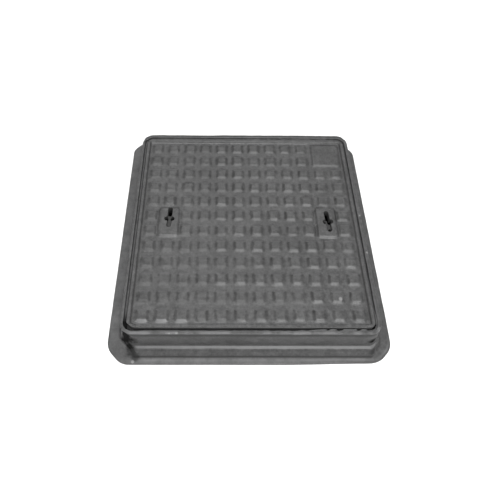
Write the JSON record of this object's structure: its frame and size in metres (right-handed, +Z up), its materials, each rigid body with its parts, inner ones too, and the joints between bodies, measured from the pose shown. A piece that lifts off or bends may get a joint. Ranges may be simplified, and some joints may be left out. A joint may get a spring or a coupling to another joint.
{
  "type": "earthing pit cover",
  "caption": "Square cast iron inspection cover with raised tile grip pattern and cross-shaped keyholes, resting loose in a flanged cast frame over an earthing pit.",
  "frame": {"origin": "centre of the frame's underside, on the surface it is bedded on", "axes": "+Z up out of the ground, +Y away from the viewer of the picture, X across with one keyhole on each side"},
  "size_m": [0.4, 0.4, 0.052],
  "materials": {
    "frame_iron": "black bitumen coat over as-cast skin, satin",
    "cover_iron": "black bitumen coat over as-cast skin, satin, rubbed paler on tile edges"
  },
  "bodies": {
    "root": {"frame": "frame_iron", "cover": "cover_iron"}
  },
  "joints": []
}
